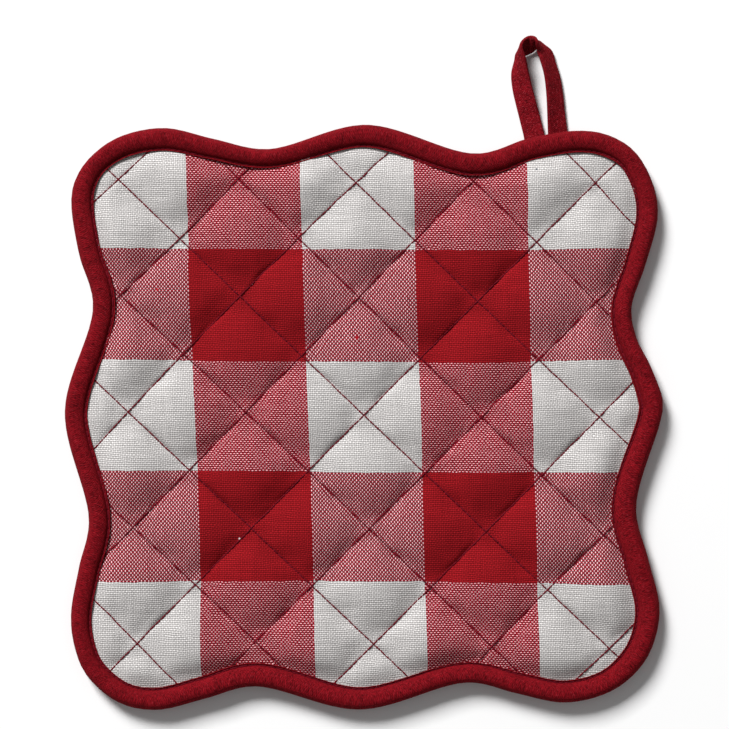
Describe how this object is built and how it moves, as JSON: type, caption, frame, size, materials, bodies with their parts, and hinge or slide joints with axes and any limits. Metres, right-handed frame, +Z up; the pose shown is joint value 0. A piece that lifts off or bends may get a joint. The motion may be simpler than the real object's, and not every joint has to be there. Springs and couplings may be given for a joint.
{
  "type": "pot holder",
  "caption": "Square quilted cloth pot holder with a wavy bound edge, red and white check, diamond quilting and a hanging loop at one corner.",
  "frame": {"origin": "on the surface that it lies on, under the middle of its whole outline with the loop", "axes": "+Z up out of the checked face, +Y towards the side with the hanging loop, +X to the right of that side seen from above"},
  "size_m": [0.203, 0.2292, 0.0081],
  "materials": {
    "check_cloth": "plain woven red and white cotton check, matt",
    "binding_cloth": "plain woven deep red cotton cut on the bias, matt",
    "loop_tape": "plain woven deep red cotton folded into a tape, matt",
    "thread": "dark red sewing thread, slight sheen"
  },
  "bodies": {
    "root": {"quilted_pad": "check_cloth", "edge_binding": "binding_cloth", "hanging_loop": "loop_tape"}
  },
  "joints": []
}
